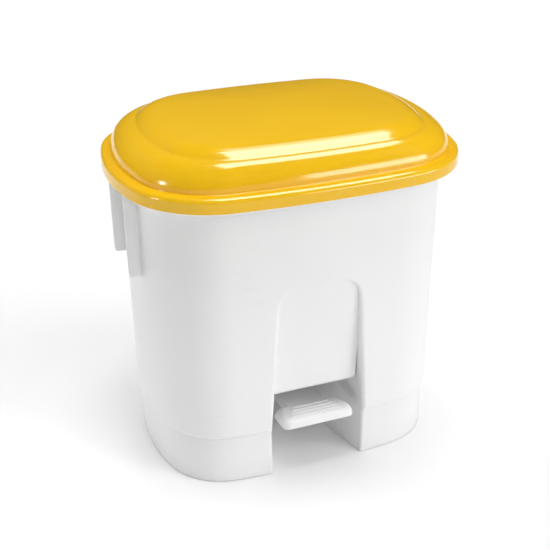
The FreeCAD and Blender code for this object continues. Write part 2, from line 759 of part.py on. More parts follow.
def rod_guide(z):
    """A block in the rear channel that the rod slides through."""
    low, high = z - GUIDE_TALL / 2, z + GUIDE_TALL / 2
    block = box(-CHANNEL_HALF, CHANNEL_HALF, CHANNEL_FLOOR_Y, CHANNEL_FLOOR_Y + GUIDE_DEPTH, low, high)
    block = fillet_where(
        block,
        CHANNEL_ROUND,
        lambda e: along(e, Vector(0, 0, 1)) and e.CenterOfMass.y < ROD_Y,
    )
    block = block.cut(rod_z(0, ROD_Y, low - 1, high + 1, ROD_RADIUS + FIT))
    back_y = CHANNEL_FLOOR_Y + GUIDE_DEPTH + 1
    for x in (GUIDE_SCREW_X, -GUIDE_SCREW_X):
        block = block.cut(rod_y(x, z, CHANNEL_FLOOR_Y - 1, back_y, SCREW_RADIUS + FIT))
    return block


def guide_screw(x, z):
    seat = CHANNEL_FLOOR_Y + GUIDE_DEPTH
    screw = screw_up(0, 0, 0, GUIDE_DEPTH + GUIDE_SCREW_BITE)
    screw.rotate(Vector(0, 0, 0), Vector(1, 0, 0), 90)
    screw.translate(Vector(x, seat, z))
    return screw


# ---------------------------------------------------------------- pins

def hinge_pin(side):
    (low, _), (_, high) = knuckle_spans()
    x0, x1 = sorted((side * (low - HINGE_PIN_PROUD), side * (high + HINGE_PIN_PROUD)))
    return rod_x(x0, x1, HINGE_Y, HINGE_Z, HINGE_PIN_RADIUS)


def lifter_pin():
    y, z = lifter_centre()
    return rod_x(-WEB_OUTER - 1, WEB_OUTER + 1, y, z, LIFTER_PIN_RADIUS)


# ---------------------------------------------------------------- all nodes

def nodes():
    made = {
        "bin_body": bin_body(),
        "base_frame": base_frame(),
        "lid": lid(),
        "lifter_pin": lifter_pin(),
        "hinge_pin_right": hinge_pin(1),
        "hinge_pin_left": hinge_pin(-1),
        "pedal_lever": pedal_lever(),
        "pedal_tread": pedal_tread(),
        "tread_screw_right": tread_screw(TREAD_SCREW_X),
        "tread_screw_left": tread_screw(-TREAD_SCREW_X),
        "pedal_axle": pedal_axle(),
        "axle_clip_right": axle_clip(1),
        "axle_clip_left": axle_clip(-1),
        "push_rod": push_rod(),
        "rod_head": rod_head(),
        "rod_foot": rod_foot(),
        "rod_guide_lower": rod_guide(GUIDE_HEIGHTS[0]),
        "rod_guide_upper": rod_guide(GUIDE_HEIGHTS[1]),
    }
    for i, (x, z) in enumerate(GUIDE_SCREWS, 1):
        made[f"guide_screw_{i}"] = guide_screw(x, z)
    for i, (x, y) in enumerate(PAD_PLACES, 1):
        made[f"foot_pad_{i}"] = foot_pad(x, y)
    for i, (x, y) in enumerate(BASE_SCREW_PLACES, 1):
        made[f"base_screw_{i}"] = screw_up(x, y, SEAM_Z - WALL, WALL + BASE_SCREW_BITE)
    return made


os.makedirs("parts", exist_ok=True)
for name, shape in nodes().items():
    if len(shape.Solids) != 1 or not shape.isValid():
        print(name, "solids", len(shape.Solids), "valid", shape.isValid())
    shape.exportStep(f"parts/{name}.step")
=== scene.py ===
import json
import math

import bmesh
import bpy
import numpy as np
from mathutils import Matrix, Vector


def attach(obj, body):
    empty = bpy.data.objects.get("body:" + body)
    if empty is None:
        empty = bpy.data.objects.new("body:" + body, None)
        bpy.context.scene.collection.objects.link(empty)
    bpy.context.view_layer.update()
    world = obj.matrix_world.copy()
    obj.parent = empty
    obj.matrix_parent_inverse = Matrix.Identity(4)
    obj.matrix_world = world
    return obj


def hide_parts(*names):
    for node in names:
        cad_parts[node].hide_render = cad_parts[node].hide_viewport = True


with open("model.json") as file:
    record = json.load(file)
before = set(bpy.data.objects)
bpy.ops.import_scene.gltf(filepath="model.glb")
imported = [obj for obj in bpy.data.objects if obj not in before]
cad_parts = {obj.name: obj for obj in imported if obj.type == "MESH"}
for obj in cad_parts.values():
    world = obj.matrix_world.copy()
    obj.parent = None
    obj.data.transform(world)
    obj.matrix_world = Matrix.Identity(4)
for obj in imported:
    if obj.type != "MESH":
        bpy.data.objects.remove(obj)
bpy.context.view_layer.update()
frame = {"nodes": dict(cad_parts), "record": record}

MM = 0.001

# ---------------------------------------------------------------- sizes, in millimetres
# They are the CAD's, but for the arch's top and corner, the panel's relief and the roll of the crown.

HALF_WIDTH = 205.0
HALF_DEPTH = 154.3
SIDE_RADIUS = 281.0
FRONT_RADIUS = 1083.0
CORNER_RADIUS = 105.0

FOOT_BOTTOM = 0.8
SEAM_Z = 63.0
RIM_Z = 373.0
LID_BOTTOM = 360.0
SHOULDER_Z = 376.0
TIER_Z = 406.0
TOP_Z = 422.0

WALL = 3.0
LID_WALL = 2.5
WALL_INSET = 20.5
WALL_INSET_LOW = 21.5
FOOT_INSET = 25.0
HEEL_RADIUS = 9.0
FLARE_RADIUS = 10.0
LIP_INSET = 3.2
LIP_BOTTOM = 356.5
LIP_WALL = 2.2
LIP_ROUND = 2.0

SKIRT_ROUND = 5.0
SHOULDER_INSET = 12.2
TIER_INSET_X = 43.3
TIER_INSET_Y = 28.7
TIER_CORNER = 81.0
EDGE_INSET = 20.0
CROWN_STEEP = 46.0
CROWN_FLAT = 6.0
LID_SOFTENING = 1.1
LID_STEP = 0.4

ARCH_TOP = 250.0
ARCH_HALF_TOP = 47.4
ARCH_HALF_SEAM = 59.0
ARCH_CORNER = 24.0
FRONT_FACE = HALF_DEPTH - WALL_INSET
TUNNEL_TAPER = 0.05
PANEL_TOP_DEPTH = 4.5
PANEL_FOOT_DEPTH = 17.0
ROLL_RADIUS = 10.0
CEILING_Z = 103.0
FOOT_GAP_FRONT = 59.1
FOOT_GAP_BACK = 33.0
FOOT_GAP_KNEE_Y = -28.0
FOOT_FACE = HALF_DEPTH - FOOT_INSET
REACH = 175.0
RELIEF_TOP = 150.0
RELIEF_GAP = 3.4
RELIEF_CORNER = 9.0
RELIEF_DEPTH = 31.0
MOUTH_ROUND = 5.0
GAP_MOUTH_TURN = 80.0
GAP_FLARE = 40.0
PLAIN_MOUTH = 12.0

CHANNEL_HALF = 18.0
CHANNEL_FLOOR_Y = 112.0
CHANNEL_ROUND = 4.0

FIN_Y = 37.0
FIN_THICK = 3.0
FIN_ROOT_X = 179.0
FIN_EDGE_X = 196.0
FIN_BOTTOM = 252.0
FIN_ROUND = 4.0
SQUARE = 0.1

HINGE_Y = 145.0
HINGE_Z = 351.0
PIN_BORE = 2.05
EAR_FROM = 54.0
EAR_TO = 66.0
EAR_RADIUS = 4.8
EAR_PLAY = 0.5
KNUCKLE_RADIUS = 5.0
KNUCKLE_WIDTH = 9.0
KNUCKLE_ROOT_Y = 127.8
WEB_REACH = 23.0
WEB_DROP = 37.5
WEB_RADIUS = 6.0
WEB_FROM = 6.0
WEB_TO = 10.0

BASE_SCREW_X = 112.0
BASE_SCREW_Y = 45.0
SCREW_BORE = 1.85
PAD_X = 133.0
PAD_Y = 82.0
AXLE_Y = 30.0
AXLE_Z = 47.0
AXLE_BORE = 3.05
CHEEK_FROM = 28.0
CHEEK_TO = 50.0
CHEEK_HALF = 11.2
SILL_TOP = 14.0
STRAP_FRONT_Y = 85.0


# ---------------------------------------------------------------- plan outlines

class Plan:
    """The plan outline of eight tangent arcs, sampled alike whatever its inset."""

    def __init__(self, side_steps, corner_steps, front_steps):
        self.steps = (side_steps, corner_steps, front_steps)

    def points(self, half_w, half_d, side_r, front_r, corner_r):
        side_c = half_w - side_r
        front_c = half_d - front_r
        span = math.hypot(side_c, front_c)
        r1 = side_r - corner_r
        r2 = front_r - corner_r
        along = (r1 ** 2 - r2 ** 2 + span ** 2) / (2 * span)
        off = math.sqrt(r1 ** 2 - along ** 2)
        ux, uy = -side_c / span, front_c / span
        cx = side_c + along * ux - off * uy
        cy = along * uy + off * ux
        turn_1 = math.atan2(cy, cx - side_c)
        turn_2 = math.atan2(cy - front_c, cx)
        side_n, corner_n, front_n = self.steps
        a = np.linspace(0, turn_1, side_n + 1)[:-1]
        b = np.linspace(turn_1, turn_2, corner_n + 1)[:-1]
        c = np.linspace(turn_2, math.pi / 2, front_n + 1)
        x = np.r_[side_c + side_r * np.cos(a), cx + corner_r * np.cos(b), front_r * np.cos(c)]
        y = np.r_[side_r * np.sin(a), cy + corner_r * np.sin(b), front_c + front_r * np.sin(c)]
        quarter = np.c_[x, y]
        left = quarter[-2::-1] * (-1, 1)
        half = np.r_[quarter, left]
        return np.r_[half, half[-2:0:-1] * (1, -1)]

    def inset(self, k):
        return self.points(
            HALF_WIDTH - k, HALF_DEPTH - k, SIDE_RADIUS - k, FRONT_RADIUS - k, CORNER_RADIUS - k
        )


def front_wall_y(x, inset):
    """How far forward the front wall stands at x."""
    return -(HALF_DEPTH - FRONT_RADIUS + np.sqrt((FRONT_RADIUS - inset) ** 2 - x ** 2))


# ---------------------------------------------------------------- meshes

def add_object(name, mesh):
    piece = bpy.data.objects.new(name, mesh)
    bpy.context.scene.collection.objects.link(piece)
    return piece


def mesh_object(name, verts, faces):
    mesh = bpy.data.meshes.new(name)
    mesh.from_pydata([tuple(v) for v in np.asarray(verts) * MM], [], faces)
    mesh.update()
    return add_object(name, mesh)


def ring_solid(name, rings, first_cap, last_cap):
    """A closed skin through rings of equally many points. A cap is "fan" to the ring's middle or "flat"."""
    count = len(rings[0])
    verts = [p for ring in rings for p in ring]
    faces = []
    for i in range(len(rings) - 1):
        for j in range(count):
            k = (j + 1) % count
            faces.append((i * count + j, i * count + k, (i + 1) * count + k, (i + 1) * count + j))
    for cap, start, flip in ((first_cap, 0, True), (last_cap, (len(rings) - 1) * count, False)):
        loop = [start + j for j in range(count)]
        if flip:
            loop.reverse()
        if cap == "flat":
            faces.append(tuple(loop))
        if cap == "fan":
            verts.append(np.mean([verts[j] for j in loop], axis=0))
            middle = len(verts) - 1
            faces += [(loop[j], loop[(j + 1) % count], middle) for j in range(count)]
    piece = mesh_object(name, verts, faces)
    turn_outward(piece)
    return piece


def turn_outward(piece):
    work = bmesh.new()
    work.from_mesh(piece.data)
    bmesh.ops.recalc_face_normals(work, faces=work.faces)
    work.to_mesh(piece.data)
    work.free()


def boolean(piece, other, operation):
    """Applies a boolean of two closed meshes and removes the second."""
    step = piece.modifiers.new("cut", "BOOLEAN")
    step.operation = operation
    step.solver = "MANIFOLD"
    step.object = other
    bake_modifiers(piece)
    bpy.data.objects.remove(other)
    return piece


def bake_modifiers(piece):
    shown = piece.evaluated_get(bpy.context.evaluated_depsgraph_get())
    mesh = bpy.data.meshes.new_from_object(shown)
    piece.modifiers.clear()
    piece.data = mesh
    return piece


def copy_of(piece):
    return add_object(piece.name + "_copy", piece.data.copy())


def smooth(piece, angle):
    mesh = piece.data
    mesh.shade_smooth()
    mesh.set_sharp_from_angle(angle=math.radians(angle))
    return piece


def arc_points(turn_from, turn_to, steps):
    return np.linspace(math.radians(turn_from), math.radians(turn_to), steps + 1)


def round_points(centre, radius, turns):
    """Points of an arc, given the middle, the radius and the turns in radians."""
    return [(centre[0] + radius * math.cos(t), centre[1] + radius * math.sin(t)) for t in turns]


def dress(piece, material):
    piece.data.materials.clear()
    piece.data.materials.append(material)
    piece.data.polygons.foreach_set("material_index", [0] * len(piece.data.polygons))


def finish_piece(piece, body, slot, *nodes):
    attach(piece, body)
    if nodes:
        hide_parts(*nodes)
    return piece


# ---------------------------------------------------------------- materials

def node_material(name):
    material = bpy.data.materials.new(name)
    material.use_nodes = True
    tree = material.node_tree
    return material, tree, tree.nodes["Principled BSDF"]


def pattern(tree, scale, detail, stretch=(1, 1, 1), turn=0.0):
    """Noise in the object's own coordinates, in metres, stretched along its axes."""
    place = tree.nodes.new("ShaderNodeTexCoord")
    mapping = tree.nodes.new("ShaderNodeMapping")
    mapping.inputs["Scale"].default_value = stretch
    mapping.inputs["Rotation"].default_value = (0, 0, math.radians(turn))
    noise = tree.nodes.new("ShaderNodeTexNoise")
    noise.inputs["Scale"].default_value = scale
    noise.inputs["Detail"].default_value = detail
    tree.links.new(place.outputs["Object"], mapping.inputs["Vector"])
    tree.links.new(mapping.outputs[0], noise.inputs["Vector"])
    return noise.outputs[0]


def fitted(tree, source, low, high, to_low, to_high):
    """A value moved from one range to another and held inside it."""
    node = tree.nodes.new("ShaderNodeMapRange")
    for name, value in zip(("From Min", "From Max", "To Min", "To Max"), (low, high, to_low, to_high)):
        node.inputs[name].default_value = value
    tree.links.new(source, node.inputs["Value"])
    return node.outputs[0]


def combined(tree, operation, first, second):
    node = tree.nodes.new("ShaderNodeMath")
    node.operation = operation
    for socket, value in zip(node.inputs, (first, second)):
        if isinstance(value, (int, float)):
            socket.default_value = value
        else:
            tree.links.new(value, socket)
    return node.outputs[0]


def blended(tree, factor, first, second):
    """A colour between two, each a socket or a plain colour."""
    node = tree.nodes.new("ShaderNodeMix")
    node.data_type = "RGBA"
    tree.links.new(factor, node.inputs["Factor"])
    sockets = [socket for socket in node.inputs if socket.type == "RGBA"]
    for socket, value in zip(sockets, (first, second)):
        if isinstance(value, tuple):
            socket.default_value = (*value, 1)
        else:
            tree.links.new(value, socket)
    return [socket for socket in node.outputs if socket.type == "RGBA"][0]


def edges(tree, low, high):
    """The convex edges of a mesh, broken up by noise."""
    shape = tree.nodes.new("ShaderNodeNewGeometry")
    sharp = fitted(tree, shape.outputs["Pointiness"], low, high, 0.0, 1.0)
    return combined(tree, "MULTIPLY", sharp, fitted(tree, pattern(tree, 60, 4), 0.45, 0.6, 0.0, 1.0))


def near_floor(tree, height):
    """One at the floor, falling to nothing at that height, broken up by noise."""
    place = tree.nodes.new("ShaderNodeTexCoord")
    split = tree.nodes.new("ShaderNodeSeparateXYZ")
    tree.links.new(place.outputs["Object"], split.inputs[0])
    low = fitted(tree, split.outputs["Z"], 0.0, height, 1.0, 0.0)
    return combined(tree, "MULTIPLY", low, fitted(tree, pattern(tree, 35, 5), 0.35, 0.65, 0.1, 1.0))


def relief(tree, shader, height, distance):
    bump = tree.nodes.new("ShaderNodeBump")
    bump.inputs["Strength"].default_value = 1.0
    bump.inputs["Distance"].default_value = distance
    tree.links.new(height, bump.inputs["Height"])
    tree.links.new(bump.outputs[0], shader.inputs["Normal"])


def tinted(colour, share):
    return tuple(min(channel * share, 1.0) for channel in colour)


def satin_plastic(name, colour, roughness, low_darkening=0.10, low_darkening_height=0.03, grain=0.00006):
    """Moulded polypropylene: a fine satin grain, faint flow marks, scuffs, rubbed edges and a grey-brown
    darkening low down, towards the floor.
    """
    material, tree, shader = node_material(name)
    flow = pattern(tree, 5, 3, (1, 1, 0.45))
    base = blended(tree, fitted(tree, flow, 0.35, 0.65, 0, 1), tinted(colour, 0.975), tinted(colour, 1.01))
    streaks = fitted(tree, pattern(tree, 26, 6, (1, 1, 7), 25), 0.62, 0.75, 0.0, 1.0)
    patchy = fitted(tree, pattern(tree, 7, 2), 0.5, 0.62, 0.0, 0.5)
    scuffs = combined(tree, "MULTIPLY", streaks, patchy)
    base = blended(tree, scuffs, base, tinted(colour, 0.86))
    rubbed = combined(tree, "MULTIPLY", edges(tree, 0.52, 0.58), 0.35)
    base = blended(tree, rubbed, base, tinted(colour, 1.05))
    # Darker grey-brown towards the floor, fading out at the given height and broken up by noise.
    floor_band = combined(tree, "MULTIPLY", near_floor(tree, low_darkening_height), low_darkening)
    base = blended(tree, floor_band, base, (0.42, 0.39, 0.35))
    tree.links.new(base, shader.inputs["Base Color"])
    finish = fitted(tree, pattern(tree, 12, 5), 0.3, 0.7, roughness - 0.05, roughness + 0.06)
    finish = combined(tree, "ADD", finish, combined(tree, "MULTIPLY", scuffs, 0.15))
    finish = combined(tree, "SUBTRACT", finish, combined(tree, "MULTIPLY", rubbed, 0.2))
    tree.links.new(finish, shader.inputs["Roughness"])
    fine = pattern(tree, 1300, 2)
    wave = combined(tree, "MULTIPLY", pattern(tree, 28, 1), 3.0)
    relief(tree, shader, combined(tree, "ADD", fine, wave), grain)
    return material


def gloss_plastic(name, colour, roughness):
    """Polished yellow plastic with a slight orange peel, hairline scratches and a few duller wipe marks."""
    material, tree, shader = node_material(name)
    depth = fitted(tree, pattern(tree, 4, 3), 0.35, 0.65, 0, 1)
    base = blended(tree, depth, tinted(colour, 0.965), tinted(colour, 1.02))
    along = fitted(tree, pattern(tree, 55, 7, (1, 16, 1), 12), 0.64, 0.70, 0.0, 1.0)
    across = fitted(tree, pattern(tree, 50, 7, (18, 1, 1), -20), 0.66, 0.72, 0.0, 1.0)
    where = fitted(tree, pattern(tree, 9, 2), 0.48, 0.6, 0.0, 1.0)
    hairlines = combined(tree, "MULTIPLY", combined(tree, "MAXIMUM", along, across), where)
    rubbed = combined(tree, "MULTIPLY", edges(tree, 0.515, 0.56), 0.3)
    base = blended(tree, combined(tree, "MULTIPLY", hairlines, 0.12), base, (0.98, 0.74, 0.22))
    base = blended(tree, rubbed, base, (0.97, 0.62, 0.06))
    tree.links.new(base, shader.inputs["Base Color"])
    finish = fitted(tree, pattern(tree, 10, 6), 0.35, 0.7, roughness - 0.02, roughness + 0.05)
    finish = combined(tree, "ADD", finish, combined(tree, "MULTIPLY", hairlines, 0.14))
    finish = combined(tree, "ADD", finish, combined(tree, "MULTIPLY", rubbed, 0.12))
    tree.links.new(finish, shader.inputs["Roughness"])
    peel = combined(tree, "SUBTRACT", pattern(tree, 70, 1), combined(tree, "MULTIPLY", hairlines, 0.05))
    relief(tree, shader, peel, 0.00008)
    return material


def worn_tread(name, colour, roughness):
    """The satin plastic of the pedal, with painted shade greying its hollows, and polished where shoes rub
    it.
    """
    material = satin_plastic(name, colour, roughness, 0.12, 0.05)
    tree = material.node_tree
    shader = tree.nodes["Principled BSDF"]
    shape = tree.nodes.new("ShaderNodeNewGeometry")
    # Painted shade: the hollows, where the pointiness is low, are greyed towards (0.55, 0.53, 0.50), broken
    # up by noise.
    hollow = fitted(tree, shape.outputs["Pointiness"], 0.49, 0.44, 0.0, 0.35)
    painted_hollow_shade = combined(tree, "MULTIPLY", hollow, fitted(tree, pattern(tree, 90, 4), 0.3, 0.6, 0.3, 1.0))
    unshaded_base = shader.inputs["Base Color"].links[0].from_socket
    tree.links.new(blended(tree, painted_hollow_shade, unshaded_base, (0.55, 0.53, 0.50)), shader.inputs["Base Color"])
    return material


def soft_rubber(name, colour):
    material, tree, shader = node_material(name)
    speckle = fitted(tree, pattern(tree, 900, 3), 0.45, 0.65, 0.0, 1.0)
    base = blended(tree, speckle, colour, tinted(colour, 1.8))
    floor_band = combined(tree, "MULTIPLY", near_floor(tree, 0.004), 0.5)
    base = blended(tree, floor_band, base, (0.30, 0.28, 0.25))
    tree.links.new(base, shader.inputs["Base Color"])
    tree.links.new(fitted(tree, pattern(tree, 60, 4), 0.3, 0.7, 0.7, 0.92), shader.inputs["Roughness"])
    relief(tree, shader, pattern(tree, 1600, 3), 0.0001)
    return material


def turned_acetal(name, colour):
    """The rod, its head and shoe and its guides: slick plastic with fine rubbed lines along the stroke."""
    material, tree, shader = node_material(name)
    lines = pattern(tree, 420, 4, (1, 1, 0.04))
    share = fitted(tree, lines, 0.35, 0.65, 0.0, 1.0)
    base = blended(tree, share, tinted(colour, 0.93), tinted(colour, 1.04))
    grease = fitted(tree, pattern(tree, 45, 4), 0.55, 0.7, 0.0, 0.3)
    base = blended(tree, grease, base, (0.50, 0.47, 0.40))
    tree.links.new(base, shader.inputs["Base Color"])
    tree.links.new(fitted(tree, lines, 0.3, 0.7, 0.26, 0.44), shader.inputs["Roughness"])
    relief(tree, shader, lines, 0.00005)
    return material


def zinc_steel(name):
    """Zinc-plated steel: a cloudy, faintly warm and blue plating over drawn lines, duller in spots."""
    material, tree, shader = node_material(name)
    shader.inputs["Metallic"].default_value = 1.0
    cloud = fitted(tree, pattern(tree, 160, 5), 0.35, 0.65, 0.0, 1.0)
    base = blended(tree, cloud, (0.60, 0.61, 0.65), (0.74, 0.72, 0.66))
    spots = fitted(tree, pattern(tree, 380, 3), 0.62, 0.72, 0.0, 0.5)
    base = blended(tree, spots, base, (0.38, 0.36, 0.33))
    tree.links.new(base, shader.inputs["Base Color"])
    drawn = pattern(tree, 900, 3, (0.06, 1, 1))
    finish = fitted(tree, drawn, 0.3, 0.7, 0.24, 0.40)
    finish = combined(tree, "ADD", finish, combined(tree, "MULTIPLY", spots, 0.3))
    tree.links.new(finish, shader.inputs["Roughness"])
    relief(tree, shader, drawn, 0.00003)
    return material


LID_YELLOW = gloss_plastic("lid_yellow", (0.96, 0.56, 0.012), 0.11)
BODY_WHITE = satin_plastic("body_white", (0.92, 0.92, 0.92), 0.42)
PEDAL_WHITE = worn_tread("pedal_white", (0.91, 0.91, 0.91), 0.40)
RUBBER = soft_rubber("pad_rubber", (0.035, 0.035, 0.036))
ROD_WHITE = turned_acetal("rod_white", (0.72, 0.72, 0.70))
STEEL = zinc_steel("zinc_steel")

BY_SLOT = {
    "lid_plastic": LID_YELLOW,
    "body_plastic": BODY_WHITE,
    "pedal_plastic": PEDAL_WHITE,
    "pad_rubber": RUBBER,
    "rod_plastic": ROD_WHITE,
    "steel": STEEL,
}


def dress_cad_nodes():
    for part in frame["record"]["subparts"]:
        mesh = frame["nodes"][part["node"]].data
        mesh.materials.clear()
        mesh.materials.append(BY_SLOT[part["material_slot"]])


dress_cad_nodes()


# ---------------------------------------------------------------- lid

def softened(points, width, step):
    """A polyline resampled at an even step, with its corners rounded over about that width."""
    points = np.asarray(points, float)
    run = np.r_[0, np.cumsum(np.hypot(*np.diff(points, axis=0).T))]
    at = np.linspace(0, run[-1], int(run[-1] / step) + 1)
    even = np.c_[np.interp(at, run, points[:, 0]), np.interp(at, run, points[:, 1])]
    reach = int(3 * width / step)
    weight = np.exp(-0.5 * (np.arange(-reach, reach + 1) * step / width) ** 2)
    weight /= weight.sum()
    before = 2 * even[0] - even[reach:0:-1]
    after = 2 * even[-1] - even[-2:-reach - 2:-1]
    padded = np.r_[before, even, after]
    return np.c_[np.convolve(padded[:, 0], weight, "valid"), np.convolve(padded[:, 1], weight, "valid")]


def lid_profile(skirt_round):
    """Inset along X and height, from the foot of the skirt to the rim of the crown."""
    turns = arc_points(0, 90, 24)
    skirt = [(0.0, LID_BOTTOM), (0.0, SHOULDER_Z - skirt_round)]
    edge = [(skirt_round * (1 - math.cos(t)), SHOULDER_Z - skirt_round * (1 - math.sin(t))) for t in turns]
    tier_w = TIER_INSET_X - SHOULDER_INSET
    tier_h = TIER_Z - SHOULDER_Z
    tier = [
        (SHOULDER_INSET + tier_w * (1 - math.cos(t)), SHOULDER_Z + tier_h * math.sin(t))
        for t in arc_points(0, 90, 48)
    ]
    steep, flat = math.radians(CROWN_STEEP), math.radians(CROWN_FLAT)
    roll = EDGE_INSET / (math.sin(steep) - math.sin(flat))
    middle = (TIER_INSET_X + roll * math.sin(steep), TIER_Z - roll * math.cos(steep))
    crown_edge = [
        (middle[0] - roll * math.sin(t), middle[1] + roll * math.cos(t))
        for t in np.linspace(steep, flat, 33)
    ]
    return softened(skirt + edge + tier + crown_edge, LID_SOFTENING, LID_STEP)


def lid_ring(plan, inset, z, inward):
    """The lid's outline at an inset along X: the tiers step in less along Y."""
    tier_share = (TIER_INSET_Y - SHOULDER_INSET) / (TIER_INSET_X - SHOULDER_INSET)
    in_tier = min(max(inset - SHOULDER_INSET, 0.0), TIER_INSET_X - SHOULDER_INSET)
    inset_y = inset - in_tier * (1 - tier_share)
    narrow = (CORNER_RADIUS - SHOULDER_INSET - TIER_CORNER) / (TIER_INSET_X - SHOULDER_INSET)
    corner = CORNER_RADIUS - inset + in_tier * (1 - narrow)
    plan_points = plan.points(
        HALF_WIDTH - inset - inward,
        HALF_DEPTH - inset_y - inward,
        SIDE_RADIUS - inset - inward,
        FRONT_RADIUS - inset_y - inward,
        corner - inward,
    )
    return np.c_[plan_points, np.full(len(plan_points), z)]


def crown_rings(edge_ring, top_z, steps):
    """Rings that shrink to the middle of the crown over a shallow dome."""
    rise = top_z - edge_ring[0][2]
    rings = []
    for share in np.linspace(1, 0, steps + 1)[1:-1]:
        ring = edge_ring * (share, share, 1)
        ring[:, 2] += rise * (1 - share ** 2)
        rings.append(ring)
    return rings


# ---------------------------------------------------------------- outlines with rounded corners

def rounded_loop(corners, radii, steps):
    """A closed polygon, given anticlockwise, with an arc at each corner."""
    points = []
    count = len(corners)
    for i, radius in enumerate(radii):
        here = np.array(corners[i], float)
        to_last = np.array(corners[i - 1], float) - here
        to_next = np.array(corners[(i + 1) % count], float) - here
        to_last /= np.linalg.norm(to_last)
        to_next /= np.linalg.norm(to_next)
        half = math.acos(np.clip(to_last @ to_next, -1, 1)) / 2
        bisector = to_last + to_next
        bisector /= np.linalg.norm(bisector)
        centre = here + bisector * radius / math.sin(half)
        start = here + to_last * radius / math.tan(half) - centre
        end = here + to_next * radius / math.tan(half) - centre
        turn = math.atan2(start[0] * end[1] - start[1] * end[0], start @ end)
        for share in np.linspace(0, 1, steps + 1):
            c, s = math.cos(turn * share), math.sin(turn * share)
            points.append(centre + (c * start[0] - s * start[1], s * start[0] + c * start[1]))
    return np.array(points)


def placed(loop, axis, at):
    """Points of a flat loop set across an axis: (y, z) across x, (x, z) across y and (x, y) across z."""
    return np.insert(np.asarray(loop, float), "xyz".index(axis), at, axis=1)


def prism(name, loop, axis, low, high, bevel=0.0):
    piece = ring_solid(name, [placed(loop, axis, low), placed(loop, axis, high)], "flat", "flat")
    if bevel:
        step = piece.modifiers.new("bevel", "BEVEL")
        step.width = bevel * MM
        step.segments = 3
        step.limit_method = "ANGLE"
        step.angle_limit = math.radians(40)
        bake_modifiers(piece)
    return piece


def block(name, x0, x1, y0, y1, z0, z1, bevel=0.0):
    return prism(name, [(x0, y0), (x1, y0), (x1, y1), (x0, y1)], "z", z0, z1, bevel)


def bar(name, axis, centre, low, high, radius, bevel=0.0, steps=32):
    turns = np.linspace(0, 2 * math.pi, steps, endpoint=False)
    loop = np.c_[centre[0] + radius * np.cos(turns), centre[1] + radius * np.sin(turns)]
    return prism(name, loop, axis, low, high, bevel)


def four_corners(x, y):
    return [(x, y), (x, -y), (-x, y), (-x, -y)]


def mirrored(piece):
    twin = copy_of(piece)
    twin.data.transform(Matrix.Scale(-1, 4, (1, 0, 0)))
    twin.data.flip_normals()
    return twin


# ---------------------------------------------------------------- recess, tunnel and channel, as cutters

def arch_loop(offset):
    """Outline of the front arch in X and Z, grown by an offset: up the right side, over and down the left."""
    low = SEAM_Z - 2 * WALL
    top = ARCH_TOP + offset
    radius = ARCH_CORNER + offset
    slope = (ARCH_HALF_SEAM - ARCH_HALF_TOP) / (ARCH_TOP - SEAM_Z)
    foot = np.array([ARCH_HALF_SEAM + slope * 2 * WALL + offset, low])
    run = np.array([-slope, 1.0]) / math.hypot(slope, 1)
    inward = np.array([-run[1], run[0]])
    reach = (top - radius - low - radius * inward[1]) / run[1]
    centre = foot + reach * run + radius * inward
    side = [foot + run * t for t in np.linspace(0, reach, 48)[:-1]]
    first = math.atan2(-inward[1], -inward[0])
    corner = round_points(centre, radius, np.linspace(first, math.pi / 2, 17))
    level = [(x, top) for x in np.linspace(centre[0], 0, 13)[1:-1]]
    right = np.array(side + corner + level + [(0.0, top)])
    return np.r_[right, right[-2::-1] * (-1, 1)]


def wall_inset_at(z):
    share = np.clip((z - SEAM_Z) / (LID_BOTTOM - SEAM_Z), 0, 1)
    return WALL_INSET_LOW + (WALL_INSET - WALL_INSET_LOW) * share


def arch_ring(offset, depth):
    """The arch on the front wall, at a depth behind its surface."""
    loop = arch_loop(offset - TUNNEL_TAPER * max(depth, 0.0))
    y = front_wall_y(loop[:, 0], wall_inset_at(loop[:, 1])) + depth
    return np.c_[loop[:, 0], y, loop[:, 1]]


def arch_cutter(skin, mouth):
    """The arch as a solid that runs the depth of the bin, with a rounded mouth on the front wall."""
    rings = []
    if mouth:
        first = math.radians(9)
        outset = 7.0
        rings.append(arch_ring(mouth * (1 - math.sin(first)) + outset / math.tan(first), -outset))
        for turn in np.linspace(first, math.pi / 2, 9):
            rings.append(arch_ring(mouth * (1 - math.sin(turn)), mouth * (1 - math.cos(turn))))
    else:
        rings.append(arch_ring(skin, -PLAIN_MOUTH))
        rings.append(arch_ring(skin, 2.0))
    for depth in (30.0, 120.0, FRONT_FACE + REACH):
        rings.append(arch_ring(skin, depth))
    return ring_solid("arch", rings, "flat", "flat")


def below_panel(skin):
    """Everything in front of the leaning panel and under the tunnel's ceiling."""
    radius = ROLL_RADIUS + skin
    top = np.array([-FRONT_FACE + PANEL_TOP_DEPTH + skin, ARCH_TOP])
    ceiling = CEILING_Z + skin
    foot = np.array([-FRONT_FACE + PANEL_FOOT_DEPTH + skin, ceiling])
    run = (foot - top) / np.linalg.norm(foot - top)
    behind = np.array([-run[1], run[0]])
    reach = (ceiling + radius - top[1] - radius * behind[1]) / run[1]
    centre = top + reach * run + radius * behind
    first = math.atan2(-behind[1], -behind[0]) % (2 * math.pi)
    roll = round_points(centre, radius, np.linspace(first, 1.5 * math.pi, 13))
    over = top - run * 4 * WALL
    far, low = 2 * REACH, SEAM_Z - 3 * WALL
    loop = [(-far, over[1]), tuple(over)] + roll + [(far, ceiling), (far, low), (-far, low)]
    return prism("panel", loop, "x", -REACH, REACH)


